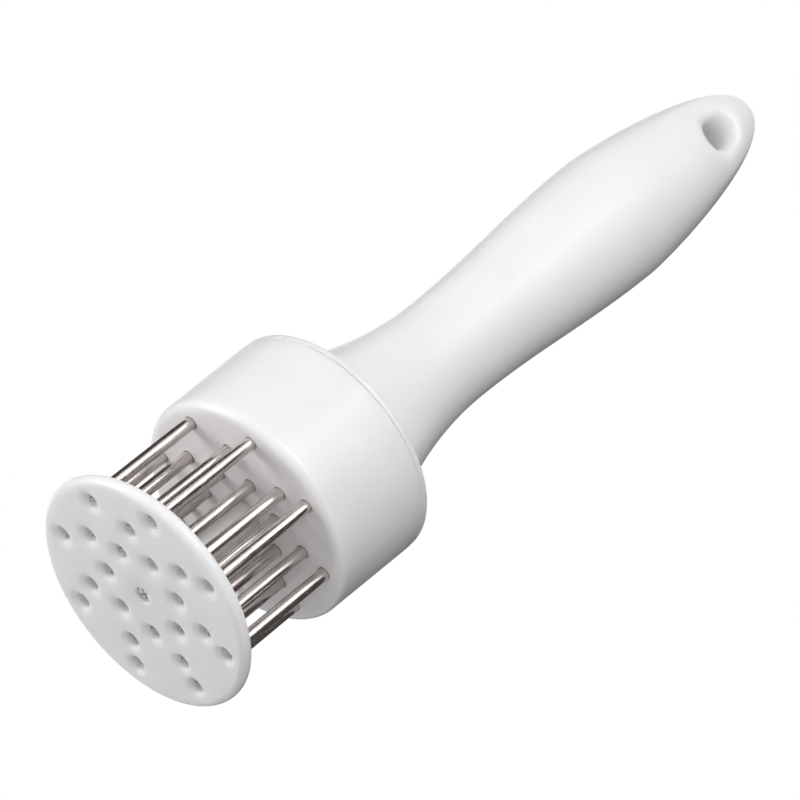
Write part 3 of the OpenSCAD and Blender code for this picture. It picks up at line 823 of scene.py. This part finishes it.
# The half profile from the core's end down the inside, round the tube and the skirt with its snap
# bead, up over the flange and along the grip to the tip
inside = [(0, 168.3), (3.5, 168.3), (6.6, 165.6), (7.0, 164.8), (7.0, SPRING_TOP_Z),
          (9.6, SPRING_TOP_Z), (9.6, 37.6)]
spring_tube = [(9.8, 37.4), (11.4, 37.4), (11.6, 37.6), (11.6, 54.8)]
skirt = [(22.6, 54.8), (22.6, 48.6), (22.8, 48.4), (24.4, 48.4), (24.6, 48.6), (24.6, 49.0),
         (25.0, GROOVE_Z), (24.6, 49.8), (24.6, RIM_Z)]
flange = [(26.3, RIM_Z), (26.6, 56.46), (26.8, 56.6), (FLANGE_R, 56.85), (FLANGE_R, 57.5),
          (26.85, 57.7), (26.72, 57.87), (26.5, 57.97), (26.2, FLANGE_Z)]
foot_fillet = [(22.2, FLANGE_Z), (21.6, 58.06), (21.1, 58.25), (20.65, 58.6)]
band_foot = HANG_Z - MOUTH_BAND
grip_heights = [GRIP_FOOT_Z + (band_foot - GRIP_FOOT_Z) * step / 90 for step in range(90)]
grip_heights += [band_foot + 2 * MOUTH_BAND * step / 30 for step in range(30)]
grip = [(grip_radius(z), z) for z in grip_heights]
near_top = math.asin(((HANG_Z + MOUTH_BAND - SWELL_Z) / (TOP_Z - SWELL_Z)) ** (1 / TIP_RISE))
for step in range(24):
    turn = near_top + (math.pi / 2 - near_top) * (step / 24)
    grip.append((SWELL_R * math.cos(turn) ** TIP_FULLNESS,
                 SWELL_Z + (TOP_Z - SWELL_Z) * math.sin(turn) ** TIP_RISE))
grip.append((0, TOP_Z))
outline = inside + spring_tube + skirt + flange + foot_fillet + grip
handle_mesh = bmesh.new()
corners = [handle_mesh.verts.new((radius * MM, 0, height * MM)) for radius, height in outline]
edges = [handle_mesh.edges.new(pair) for pair in zip(corners, corners[1:])]
bmesh.ops.spin(handle_mesh, geom=corners + edges, axis=(0, 0, 1), cent=(0, 0, 0),
               angle=math.radians(180), steps=72)
bmesh.ops.remove_doubles(handle_mesh, verts=handle_mesh.verts, dist=WELD)


def on_skin(radius, turn):
    """A point of the grip's skin at a distance from the hole's axis, in millimetres."""
    x, z = radius * math.cos(turn), HANG_Z + radius * math.sin(turn)
    return Vector((x, math.sqrt(grip_radius(z) ** 2 - x * x), z))


def from_axis(corner):
    """Distance of a corner from the hole's axis, in millimetres."""
    return math.hypot(corner.co.x / MM, corner.co.z / MM - HANG_Z)


# The hole's mouth: on half a handle, the grip's skin is opened round it and joined to a clean
# circle, which is drawn in down a soft scoop to the narrow hole and on to the middle
opened = [face for face in handle_mesh.faces
          if face.calc_center_median().y > 1 * MM
          and min(map(from_axis, face.verts)) < MOUTH_R + 0.25]
bmesh.ops.delete(handle_mesh, geom=opened, context="FACES")
ragged = [edge for edge in handle_mesh.edges
          if edge.is_boundary and min(map(from_axis, edge.verts)) < MOUTH_R + 2
          and min(corner.co.y for corner in edge.verts) > 3 * MM]
ring = bmesh.ops.create_circle(handle_mesh, segments=MOUTH_SIDES, radius=1)["verts"]
for step, corner in enumerate(ring):
    corner.co = on_skin(MOUTH_R, 2 * math.pi * step / MOUTH_SIDES) * MM
clean = edges_at(ring)
bmesh.ops.bridge_loops(handle_mesh, edges=ragged + clean)
SKIN_STEP = 0.2
for step in range(1, MOUTH_STEPS + 1):
    lip = math.radians(90 * (1 - step / MOUTH_STEPS))
    radius = HANG_R + (MOUTH_R - HANG_R) * (1 - math.cos(lip))
    clean, corners = draw_once(handle_mesh, clean)
    for corner in corners:
        # The scoop starts level with the skin there, so its lip is smooth
        turn = math.atan2(corner.co.z / MM - HANG_Z, corner.co.x / MM)
        outer, inner = on_skin(MOUTH_R, turn), on_skin(MOUTH_R - SKIN_STEP, turn)
        fall = (outer.y - inner.y) / SKIN_STEP
        y = outer.y - fall * (MOUTH_R - radius) - MOUTH_DEPTH * (1 - math.sin(lip))
        corner.co = Vector((radius * math.cos(turn), y, HANG_Z + radius * math.sin(turn))) * MM
clean, corners = draw_once(handle_mesh, clean)
for corner in corners:
    corner.co.y = 0
half = handle_mesh.verts[:] + handle_mesh.edges[:] + handle_mesh.faces[:]
bmesh.ops.mirror(handle_mesh, geom=half, axis="Y", merge_dist=WELD)
bmesh.ops.rotate(handle_mesh, verts=handle_mesh.verts, cent=(0, 0, 0),
                 matrix=Matrix.Rotation(math.radians(HANG_TURN), 3, "Z"))
handle = finished("handle_moulded", handle_mesh, handle_plastic)
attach(handle, "tool")
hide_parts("handle")
